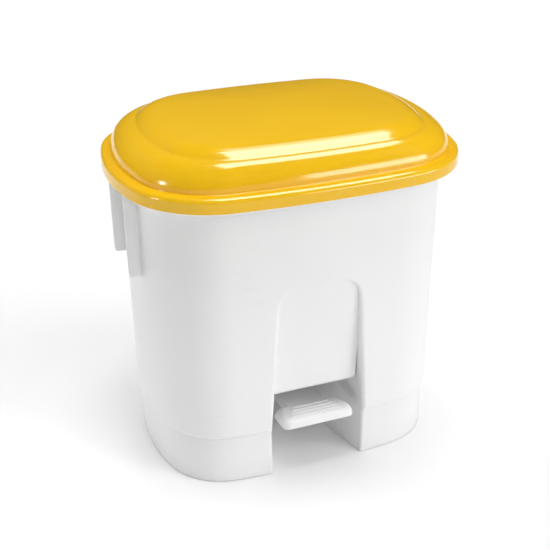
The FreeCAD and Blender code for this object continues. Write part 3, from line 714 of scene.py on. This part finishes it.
def panel_relief(skin):
    """The narrow hollow beside the panel's foot on the right, round its rounded lower corner."""
    slope = (ARCH_HALF_SEAM - ARCH_HALF_TOP) / (ARCH_TOP - SEAM_Z)

    def wall_x(z):
        return ARCH_HALF_SEAM - slope * (z - SEAM_Z) - TUNNEL_TAPER * PANEL_FOOT_DEPTH

    low = CEILING_Z - WALL
    radius = RELIEF_CORNER - skin
    centre = (wall_x(CEILING_Z) - RELIEF_GAP - RELIEF_CORNER, CEILING_Z + RELIEF_CORNER)
    corner = round_points(centre, radius, np.linspace(0, -math.pi / 2, 9))
    tip = RELIEF_TOP + 4 * skin
    outside = wall_x(CEILING_Z) + 3 * WALL
    loop = [(outside, tip), (wall_x(tip) - skin, tip)] + corner + [(centre[0], low), (outside, low)]
    return prism("relief", loop, "y", -REACH, -FRONT_FACE + RELIEF_DEPTH + skin)


def recess_cutter(skin, mouth):
    room = below_panel(skin)
    relief = panel_relief(skin)
    room = boolean(room, mirrored(relief), "UNION")
    room = boolean(room, relief, "UNION")
    return boolean(arch_cutter(skin, mouth), room, "INTERSECT")


def channel_cutter(skin, top):
    half = CHANNEL_HALF + skin
    floor_y = CHANNEL_FLOOR_Y - skin
    radius = CHANNEL_ROUND + skin
    corners = [(-half, floor_y), (half, floor_y), (half, REACH), (-half, REACH)]
    loop = rounded_loop(corners, [radius, radius, SQUARE, SQUARE], 8)
    return prism("channel", loop, "z", CEILING_Z - WALL, top)


# ---------------------------------------------------------------- tub

def arc_profile(centre, radius, turn_from, turn_to, steps):
    return [
        (centre[0] - radius * math.cos(t), centre[1] + radius * math.sin(t))
        for t in arc_points(turn_from, turn_to, steps)
    ]


def rows(inset_from, z_from, inset_to, z_to, count):
    """Evenly spaced points up a wall, both ends left out."""
    shares = np.linspace(0, 1, count + 1)[1:-1]
    return [(inset_from + (inset_to - inset_from) * t, z_from + (z_to - z_from) * t) for t in shares]


def tub_outside_profile():
    """Inset and height, up the outside from the seam to the underside of the rim."""
    heel_turn = math.degrees(math.acos(1 - (FOOT_INSET - WALL_INSET_LOW) / HEEL_RADIUS))
    heel_tall = HEEL_RADIUS * math.sin(math.radians(heel_turn))
    heel = arc_profile((WALL_INSET_LOW + HEEL_RADIUS, SEAM_Z + heel_tall), HEEL_RADIUS, -heel_turn, 0, 8)
    flare_z = RIM_Z - WALL - FLARE_RADIUS
    flare = [
        (WALL_INSET - FLARE_RADIUS * (1 - math.cos(t)), flare_z + FLARE_RADIUS * math.sin(t))
        for t in arc_points(0, 90, 8)
    ]
    return heel + rows(WALL_INSET_LOW, heel[-1][1], WALL_INSET, flare_z, 44) + flare


def tub_inside_profile():
    """Inset and height, down the inside from the rim to the floor."""
    inner = FLARE_RADIUS + WALL
    flare_z = RIM_Z - inner
    mouth = [
        (WALL_INSET + WALL - inner * (1 - math.sin(t)), flare_z + inner * math.cos(t))
        for t in arc_points(0, 90, 10)
    ]
    low_z = SEAM_Z + WALL + HEEL_RADIUS
    wall = rows(WALL_INSET + WALL, flare_z, WALL_INSET_LOW + WALL, low_z, 20)
    heel = [
        (WALL_INSET_LOW + WALL + HEEL_RADIUS * (1 - math.cos(t)), low_z - HEEL_RADIUS * math.sin(t))
        for t in arc_points(0, 90, 8)
    ]
    return mouth + wall + heel


def tub_profile():
    """The whole section of the tub, from the middle of its underside round to the middle of its floor."""
    lip_in = LIP_INSET + LIP_WALL
    half = LIP_WALL / 2
    under = RIM_Z - WALL
    lip = [(lip_in + 0.8, under), (lip_in, under - 0.8)]
    lip += [(lip_in, LIP_BOTTOM + half)]
    lip += [
        (LIP_INSET + half + half * math.cos(t), LIP_BOTTOM + half - half * math.sin(t))
        for t in arc_points(0, 180, 8)[1:]
    ]
    lip += [(LIP_INSET, LIP_BOTTOM + 5.0), (LIP_INSET, RIM_Z - LIP_ROUND)]
    lip += arc_profile((LIP_INSET + LIP_ROUND, RIM_Z - LIP_ROUND), LIP_ROUND, 0, 90, 6)[1:]
    return tub_outside_profile() + lip + tub_inside_profile()


def sweep(name, plan, profile):
    rings = []
    for inset, z in profile:
        outline = plan.inset(inset)
        rings.append(np.c_[outline, np.full(len(outline), z)])
    return ring_solid(name, rings, "flat", "flat")


def fin(y):
    """One of the two upright plates under the rim on the right, which a hand lifts the bin by."""
    top = RIM_Z - WALL + 1
    corners = [(FIN_ROOT_X, FIN_BOTTOM), (FIN_EDGE_X, FIN_BOTTOM), (FIN_EDGE_X, top), (FIN_ROOT_X, top)]
    loop = rounded_loop(corners, [SQUARE, FIN_ROUND, SQUARE, SQUARE], 8)
    return prism("fin", loop, "y", y - FIN_THICK / 2, y + FIN_THICK / 2, 0.7)


def hinge_knuckles():
    """The two knuckles on the right of the back wall, one each side of the lid's ear."""
    root = [(KNUCKLE_ROOT_Y, HINGE_Z + KNUCKLE_RADIUS), (KNUCKLE_ROOT_Y, HINGE_Z - KNUCKLE_RADIUS)]
    nose = round_points((HINGE_Y, HINGE_Z), KNUCKLE_RADIUS, arc_points(-90, 90, 12))
    inner, outer = EAR_FROM - EAR_PLAY, EAR_TO + EAR_PLAY
    spans = ((inner - KNUCKLE_WIDTH, inner), (outer, outer + KNUCKLE_WIDTH))
    return [prism("knuckle", root + nose, "x", x0, x1, 0.6) for x0, x1 in spans]


def fins_and_knuckles(plan):
    """The right-hand fins and knuckles, their roots ended inside the thickness of the wall."""
    made = fin(FIN_Y)
    for piece in [fin(-FIN_Y)] + hinge_knuckles():
        made = boolean(made, piece, "UNION")
    room = sweep("room", plan, [(inset - WALL / 2, z) for inset, z in tub_inside_profile()])
    return boolean(made, room, "DIFFERENCE")


def make_tub():
    plan = Plan(12, 26, 34)
    tub = sweep("tub_shell", plan, tub_profile())
    outer = sweep("outer", plan, tub_outside_profile() + [(WALL_INSET - FLARE_RADIUS, RIM_Z - 0.2)])
    ribs = boolean(recess_cutter(WALL, 0.0), copy_of(outer), "INTERSECT")
    tub = boolean(tub, ribs, "UNION")
    tub = boolean(tub, boolean(channel_cutter(WALL, RIM_Z - 0.3), outer, "INTERSECT"), "UNION")
    tub = boolean(tub, recess_cutter(0.0, MOUTH_ROUND), "DIFFERENCE")
    tub = boolean(tub, channel_cutter(0.0, RIM_Z + WALL), "DIFFERENCE")
    outworks = fins_and_knuckles(plan)
    tub = boolean(tub, mirrored(outworks), "UNION")
    tub = boolean(tub, outworks, "UNION")
    for place in four_corners(BASE_SCREW_X, BASE_SCREW_Y):
        tub = boolean(tub, bar("screw_boss", "z", place, SEAM_Z + 1, SEAM_Z + 9, 7.2, 1.0), "UNION")
        tub = boolean(tub, bar("screw_bore", "z", place, SEAM_Z - 1, SEAM_Z + 6, SCREW_BORE), "DIFFERENCE")
    inner, outer = EAR_FROM - EAR_PLAY, EAR_TO + EAR_PLAY
    gap = block("ear_gap", inner, outer, HINGE_Y - 6, REACH, HINGE_Z - 8, RIM_Z + 1)
    pin_bore = bar("pin_bore", "x", (HINGE_Y, HINGE_Z), -REACH, REACH, PIN_BORE)
    tub = boolean(tub, mirrored(gap), "DIFFERENCE")
    tub = boolean(tub, gap, "DIFFERENCE")
    tub = boolean(tub, pin_bore, "DIFFERENCE")
    smooth(tub, 32)
    dress(tub, BODY_WHITE)
    return finish_piece(tub, "bin", "body_plastic", "bin_body")


# ---------------------------------------------------------------- feet

def gap_wall_x(y, z):
    """The right wall of the gap between the feet: ruled from the floor up to the seam."""
    if y < FOOT_GAP_KNEE_Y:
        share = (y - FOOT_GAP_KNEE_Y) / (FOOT_FACE + FOOT_GAP_KNEE_Y)
        low = FOOT_GAP_BACK - (FOOT_GAP_FRONT - FOOT_GAP_BACK) * share
    else:
        low = FOOT_GAP_BACK
    high = ARCH_HALF_SEAM - TUNNEL_TAPER * (y + FRONT_FACE)
    return low + (high - low) * z / SEAM_Z


def foot_gap(skin, mouth):
    """The gap between the feet as a cutter, with rounded front edges where a mouth is given."""
    face_y = front_wall_y(FOOT_GAP_FRONT, FOOT_INSET)
    front_y = face_y + mouth if mouth else -REACH
    straight = np.linspace(REACH, FOOT_GAP_KNEE_Y, 12)
    steps = [*straight, *np.linspace(FOOT_GAP_KNEE_Y, front_y, 16)[1:]]

    def ring(z):
        right = [(gap_wall_x(y, z) + skin, y) for y in steps]
        if mouth:
            side_x = right[-1][0]
            for t in arc_points(0, GAP_MOUTH_TURN, 8)[1:]:
                right.append((side_x + mouth * (1 - math.cos(t)), front_y - mouth * math.sin(t)))
            run = math.radians(GAP_MOUTH_TURN)
            end = right[-1]
            right.append((end[0] + GAP_FLARE * math.sin(run), end[1] - GAP_FLARE * math.cos(run)))
        loop = [(-x, y) for x, y in right[::-1]]
        return placed(right + loop, "z", z)

    return ring_solid("foot_gap", [ring(z) for z in np.linspace(-1.0, SEAM_Z + 1.0, 14)], "flat", "flat")


def make_feet():
    plan = Plan(12, 26, 34)
    edge = 1.0
    low, high = FOOT_BOTTOM + edge, SEAM_Z - edge
    turns = arc_points(0, 90, 4)
    sides = [(FOOT_INSET + edge * (1 - math.sin(t)), low - edge * math.cos(t)) for t in turns]
    sides += rows(FOOT_INSET, low, FOOT_INSET, high, 8)
    sides += [(FOOT_INSET + edge * (1 - math.cos(t)), high + edge * math.sin(t)) for t in turns]
    feet = sweep("foot_frame", plan, sides)
    hollow = sweep("hollow", plan, [(FOOT_INSET + WALL, FOOT_BOTTOM - 2), (FOOT_INSET + WALL, SEAM_Z - WALL)])
    hollow = boolean(hollow, foot_gap(WALL, 0.0), "DIFFERENCE")
    for place in four_corners(PAD_X, PAD_Y):
        hollow = boolean(hollow, bar("post", "z", place, 3.5, SEAM_Z, 7.5), "DIFFERENCE")
    feet = boolean(feet, hollow, "DIFFERENCE")
    sill = sweep("sill", plan, [(FOOT_INSET - 1, FOOT_BOTTOM - 2), (FOOT_INSET - 1, SILL_TOP)])
    sill_room = sweep("sill_room", plan, [(FOOT_INSET + WALL, FOOT_BOTTOM + WALL), (FOOT_INSET + WALL, 20.0)])
    sill = boolean(sill, sill_room, "DIFFERENCE")
    sill = boolean(sill, block("behind", -REACH, REACH, STRAP_FRONT_Y, REACH, -5, 25), "INTERSECT")
    feet = boolean(feet, boolean(foot_gap(0.0, 4.0), sill, "DIFFERENCE"), "DIFFERENCE")
    front_y, back_y = AXLE_Y - CHEEK_HALF, AXLE_Y + CHEEK_HALF
    cheek = block("cheek", CHEEK_FROM, CHEEK_TO, front_y, back_y, AXLE_Z - CHEEK_HALF, SEAM_Z - 0.3, 1.0)
    feet = boolean(feet, mirrored(cheek), "UNION")
    feet = boolean(feet, cheek, "UNION")
    for x0, x1 in ((20.0, 56.0), (-56.0, -20.0)):
        feet = boolean(feet, bar("axle_bore", "x", (AXLE_Y, AXLE_Z), x0, x1, AXLE_BORE), "DIFFERENCE")
    smooth(feet, 32)
    dress(feet, BODY_WHITE)
    return finish_piece(feet, "bin", "body_plastic", "base_frame")


# ---------------------------------------------------------------- pedal tread

AXLE = Vector((0, AXLE_Y, AXLE_Z)) * MM
PEDAL_TILT = 9.0
LEVER_TOP = 0.8
LEVER_PLATE = 3.0
LEVER_DEPTH = 11.0
LEVER_HALF = 25.5
LEVER_TAIL_HALF = 13.0
LEVER_TAIL_Y = 104.0
LEVER_NOSE_Y = -152.5
LEVER_NARROW_FROM = 13.0
LEVER_NARROW_TO = 41.0
BOSS_RADIUS = 7.0
TREAD_TOP = 3.3
TREAD_SKIRT_TOP = -5.0
TREAD_LOW = -7.5
TREAD_BACK_Y = -127.0
TREAD_SHOULDER_Y = -153.0
TREAD_FRONT_Y = -166.5
TREAD_BACK_HALF = 44.5
TREAD_FRONT_HALF = 45.5
TREAD_CORNER = 9.0
SHOULDER_FRONT = 9.0
SHOULDER_CORNER = 7.0
SHOULDER_SIDE = 6.5
SHOULDER_BACK_SIDE = 13.0
SHOULDER_BACK = 1.5
RIB_COUNT = 4
RIB_FIRST_Y = -157.0
RIB_PITCH = 7.4
RIB_HALF = 31.7
RIB_SHORTER = 2.4
RIB_RADIUS = 1.7
RIB_SUNK = 0.7
TREAD_SCREW_X = 17.0
TREAD_SCREW_Y = -136.0


def lever_place():
    """From the lever's own level frame on the axle, in millimetres, to its resting place."""
    return Matrix.Translation(AXLE) @ Matrix.Rotation(math.radians(-PEDAL_TILT), 4, "X")


def tread_ring(fall, inward, z):
    """The tread's outline at a share of the way in over its shoulder, 0 at the skirt and 1 at the top."""
    front = TREAD_FRONT_Y + SHOULDER_FRONT * fall + inward
    shoulder = TREAD_SHOULDER_Y + SHOULDER_CORNER * fall + inward
    half = TREAD_FRONT_HALF - SHOULDER_SIDE * fall - inward
    back_half = TREAD_BACK_HALF - SHOULDER_BACK_SIDE * fall - inward
    back = TREAD_BACK_Y - SHOULDER_BACK * fall - inward
    right = [(half, front), (half, shoulder), (back_half, back)]
    corners = right + [(-x, y) for x, y in right[::-1]]
    corner = TREAD_CORNER - 2.0 * fall - 0.8 * inward
    radii = [corner, 12.0, 2.5, 2.5, 12.0, corner]
    return placed(rounded_loop(corners, radii, 10), "z", z)


def tread_rings(inward):
    """Up the tread's skirt and over its rounded shoulder, all round."""
    top = TREAD_TOP - inward
    made = [tread_ring(0.0, inward, TREAD_LOW)]
    for t in arc_points(0, 90, 12):
        z = TREAD_SKIRT_TOP + (top - TREAD_SKIRT_TOP) * math.sin(t)
        made.append(tread_ring(1 - math.cos(t), inward, z))
    return made


def capsule(name, half, y, z, radius):
    """A bar along X with rounded ends."""
    turns = np.linspace(0, 2 * math.pi, 20, endpoint=False)
    circle = np.c_[y + radius * np.cos(turns), z + radius * np.sin(turns)]
    rings = []
    for t in arc_points(-84, 84, 16):
        x = (half - radius) * np.sign(t) + radius * math.sin(t) if abs(t) > 1e-9 else 0.0
        shrink = math.cos(t)
        ring = np.c_[np.full(len(turns), x), (circle - (y, z)) * shrink + (y, z)]
        rings.append(ring)
    return ring_solid(name, rings, "flat", "flat")


def make_tread():
    rings = tread_rings(2.5)[::-1] + tread_rings(0.0)
    tread = ring_solid("tread", rings, "flat", "flat")
    door_half = LEVER_HALF + 0.3
    door = block("door", -door_half, door_half, -134.0, -124.0, -12.0, LEVER_TOP)
    tread = boolean(tread, door, "DIFFERENCE")
    for i in range(RIB_COUNT):
        half = RIB_HALF - RIB_SHORTER * i
        rib = capsule("rib", half, RIB_FIRST_Y + RIB_PITCH * i, TREAD_TOP - RIB_SUNK, RIB_RADIUS)
        tread = boolean(tread, rib, "UNION")
    tread.data.transform(lever_place())
    smooth(tread, 40)
    dress(tread, PEDAL_WHITE)
    return finish_piece(tread, "pedal", "pedal_plastic", "pedal_tread")


def lever_plan(inward):
    right = [
        (LEVER_HALF - inward, LEVER_NOSE_Y + inward),
        (LEVER_HALF - inward, LEVER_NARROW_FROM - inward),
        (LEVER_TAIL_HALF - inward, LEVER_NARROW_TO - inward),
        (LEVER_TAIL_HALF - inward, LEVER_TAIL_Y - inward),
    ]
    corners = right + [(-x, y) for x, y in right[::-1]]
    small = 1.0 + 0.3 * inward
    return rounded_loop(corners, [small, 8.0, 8.0, 3.0, 3.0, 8.0, 8.0, small], 6)


def make_lever():
    lever = prism("lever", lever_plan(0.0), "z", LEVER_TOP - LEVER_DEPTH, LEVER_TOP, 1.2)
    under = prism("under", lever_plan(WALL), "z", LEVER_TOP - LEVER_DEPTH - 1, LEVER_TOP - LEVER_PLATE)
    lever = boolean(lever, under, "DIFFERENCE")
    nose = block("nose", -30.0, 30.0, -160.0, -125.0, -22.0, -5.5)
    lever = boolean(lever, nose, "DIFFERENCE")
    boss = bar("boss", "x", (0.0, 0.0), -LEVER_HALF, LEVER_HALF, BOSS_RADIUS, 0.6, 48)
    lever = boolean(lever, boss, "UNION")
    bore = bar("bore", "x", (0.0, 0.0), -30.0, 30.0, AXLE_BORE, 0.0, 48)
    lever = boolean(lever, bore, "DIFFERENCE")
    for x in (TREAD_SCREW_X, -TREAD_SCREW_X):
        hole = bar("hole", "z", (x, TREAD_SCREW_Y), -22.0, 2.0, SCREW_BORE)
        lever = boolean(lever, hole, "DIFFERENCE")
    lever.data.transform(lever_place())
    smooth(lever, 40)
    dress(lever, PEDAL_WHITE)
    return finish_piece(lever, "pedal", "pedal_plastic", "pedal_lever")


# ---------------------------------------------------------------- lid shell with its ears and webs

def hinge_ear():
    """The ear under the lid's back edge on the right, which turns about the hinge pin."""
    nose = round_points((HINGE_Y, HINGE_Z), EAR_RADIUS, arc_points(180, 360, 16))
    loop = nose + [(HINGE_Y + 4.0, SHOULDER_Z), (HINGE_Y - EAR_RADIUS, SHOULDER_Z)]
    return prism("ear", loop, "x", EAR_FROM, EAR_TO, 0.5)


def lifter_web():
    """One of the two webs under the back of the lid that hold the lifter pin between them."""
    drop = math.radians(WEB_DROP)
    y, z = HINGE_Y - WEB_REACH * math.cos(drop), HINGE_Z - WEB_REACH * math.sin(drop)
    nose = round_points((y, z), WEB_RADIUS, arc_points(180, 360, 16))
    back = y + 2 * WEB_RADIUS
    loop = nose + [(y + WEB_RADIUS, 358.0), (back, 362.0), (back, TIER_Z), (y - WEB_RADIUS, TIER_Z)]
    return prism("web", loop, "x", WEB_FROM, WEB_TO, 0.4)


def make_lid():
    """The lid's shell: the skirt's corner is rounded less inside, so that the wall stays even there."""
    plan = Plan(10, 30, 26)
    outside = [lid_ring(plan, max(k, 0.0), z, 0.0) for k, z in lid_profile(SKIRT_ROUND)]
    outside += crown_rings(outside[-1], TOP_Z, 22)
    inside = []
    for k, z in lid_profile(SKIRT_ROUND - LID_WALL)[::3]:
        inside.append(lid_ring(plan, max(k, 0.0), max(z - LID_WALL, LID_BOTTOM), LID_WALL))
    inside = [ring for i, ring in enumerate(inside) if i == 0 or ring[0][2] > inside[i - 1][0][2] + 0.01]
    inside += crown_rings(inside[-1], TOP_Z - LID_WALL, 8)
    lid = ring_solid("lid_shell", inside[::-1] + outside, "fan", "fan")
    below = inside[0] * (1, 1, 0) + (0, 0, 300.0)
    outer = ring_solid("lid_outer", [below, inside[0]] + outside, "fan", "fan")
    for lug in (hinge_ear(), lifter_web()):
        lug = boolean(lug, copy_of(outer), "INTERSECT")
        lid = boolean(lid, mirrored(lug), "UNION")
        lid = boolean(lid, lug, "UNION")
    bpy.data.objects.remove(outer)
    lid = boolean(lid, bar("pin_bore", "x", (HINGE_Y, HINGE_Z), -80.0, 80.0, PIN_BORE), "DIFFERENCE")
    smooth(lid, 40)
    dress(lid, LID_YELLOW)
    return finish_piece(lid, "lid", "lid_plastic", "lid")


# ---------------------------------------------------------------- stage, light and camera

AZIMUTH = -20.39
ELEVATION = 26.81
ROLL = -0.61
DISTANCE = 1.2078
LENS = 62.78
TARGET = Vector((-0.00357, 0.0056, 0.1986))
WORLD = 0.05
FLOOR_HALF = 4000.0
FLOOR_WHITE = 0.90
FLOOR_GLOW = 0.04
# name, azimuth, elevation and strength of the broad lights, which light the floor evenly
FILLS = [
    ("key_fill", 50, 24, 0.98),
    ("front_fill", 30, 55, 0.50),
    ("low_front_fill", 0, 22, 0.38),
    ("top_fill", 0, 88, 1.65),
    ("left_fill", -120, 18, 0.70),
    ("back_right_fill", 160, 24, 0.58),
    ("back_left_fill", -155, 24, 0.68),
]
FILL_SPREAD = 30
# name, azimuth, elevation, distance, size and radiance of the lights that show in the gloss
SOFTBOXES = [
    ("key_gloss", 40, 3, 2.0, (1.7, 0.36), 9.0),
    ("left_gloss", -84, 12, 1.6, (0.20, 0.22), 30.0),
]
# name, place, size and radiance of the ones overhead, which face straight down
OVERHEAD = [
    ("top_gloss", (0.55, -0.20, 2.2), (1.4, 1.3), 12.0),
    ("top_glow", (0.65, 0.75, 2.2), (1.1, 0.6), 4.0),
]


def view_back(azimuth, elevation):
    a, e = math.radians(azimuth), math.radians(elevation)
    return Vector((math.sin(a) * math.cos(e), -math.cos(a) * math.cos(e), math.sin(e)))


def make_camera():
    data = bpy.data.cameras.new("camera")
    data.lens = LENS
    data.sensor_width = 36.0
    camera = bpy.data.objects.new("camera", data)
    bpy.context.scene.collection.objects.link(camera)
    back = view_back(AZIMUTH, ELEVATION)
    facing = (-back).to_track_quat("-Z", "Y").to_matrix()
    rolled = facing @ Matrix.Rotation(math.radians(ROLL), 3, "Z")
    camera.matrix_world = Matrix.Translation(TARGET + back * DISTANCE) @ rolled.to_4x4()
    bpy.context.scene.camera = camera


def add_light(name, kind, azimuth, elevation, distance):
    data = bpy.data.lights.new(name, kind)
    light = bpy.data.objects.new(name, data)
    bpy.context.scene.collection.objects.link(light)
    back = view_back(azimuth, elevation)
    light.location = Vector((0, 0, 0.2)) + back * distance
    light.rotation_mode = "QUATERNION"
    light.rotation_quaternion = (-back).to_track_quat("-Z", "Y")
    return light


def fill_light(name, azimuth, elevation, strength):
    light = add_light(name, "SUN", azimuth, elevation, 3.0)
    light.data.energy = strength
    light.data.angle = math.radians(FILL_SPREAD)
    light.visible_glossy = False


def show_in_gloss(light, size, radiance):
    """Makes a light a rectangle that only shows as a reflection."""
    light.data.shape = "RECTANGLE"
    light.data.size, light.data.size_y = size
    light.data.energy = radiance * math.pi * size[0] * size[1]
    light.visible_diffuse = False


def softbox(name, azimuth, elevation, distance, size, radiance):
    show_in_gloss(add_light(name, "AREA", azimuth, elevation, distance), size, radiance)


def overhead(name, place, size, radiance):
    light = add_light(name, "AREA", 0, 90, 1.0)
    light.location = place
    light.rotation_quaternion = (1, 0, 0, 0)
    show_in_gloss(light, size, radiance)


def make_floor():
    half = FLOOR_HALF
    verts = [(-half, -half, 0), (half, -half, 0), (half, half, 0), (-half, half, 0)]
    floor = mesh_object("floor", verts, [(0, 1, 2, 3)])
    material, tree, shader = node_material("floor_white")
    shader.inputs["Base Color"].default_value = (FLOOR_WHITE, FLOOR_WHITE, FLOOR_WHITE, 1)
    shader.inputs["Roughness"].default_value = 0.9
    shader.inputs["Emission Color"].default_value = (1, 1, 1, 1)
    shader.inputs["Emission Strength"].default_value = FLOOR_GLOW
    shader.inputs["Specular IOR Level"].default_value = 0.1
    floor.data.materials.append(material)


def make_world():
    """A dim even light on the bin, behind which the backdrop shows white."""
    world = bpy.data.worlds.new("studio")
    bpy.context.scene.world = world
    world.use_nodes = True
    tree = world.node_tree
    dim = tree.nodes["Background"]
    dim.inputs["Color"].default_value = (1, 1, 1, 1)
    dim.inputs["Strength"].default_value = WORLD
    white = tree.nodes.new("ShaderNodeBackground")
    white.inputs["Color"].default_value = (1, 1, 1, 1)
    ray = tree.nodes.new("ShaderNodeLightPath")
    mix = tree.nodes.new("ShaderNodeMixShader")
    tree.links.new(ray.outputs["Is Camera Ray"], mix.inputs["Fac"])
    tree.links.new(dim.outputs[0], mix.inputs[1])
    tree.links.new(white.outputs[0], mix.inputs[2])
    tree.links.new(mix.outputs[0], tree.nodes["World Output"].inputs["Surface"])


bpy.context.scene.view_settings.view_transform = "Standard"
make_lid()
make_tub()
make_feet()
make_tread()
make_lever()
make_camera()
make_floor()
make_world()
for settings in FILLS:
    fill_light(*settings)
for settings in SOFTBOXES:
    softbox(*settings)
for settings in OVERHEAD:
    overhead(*settings)
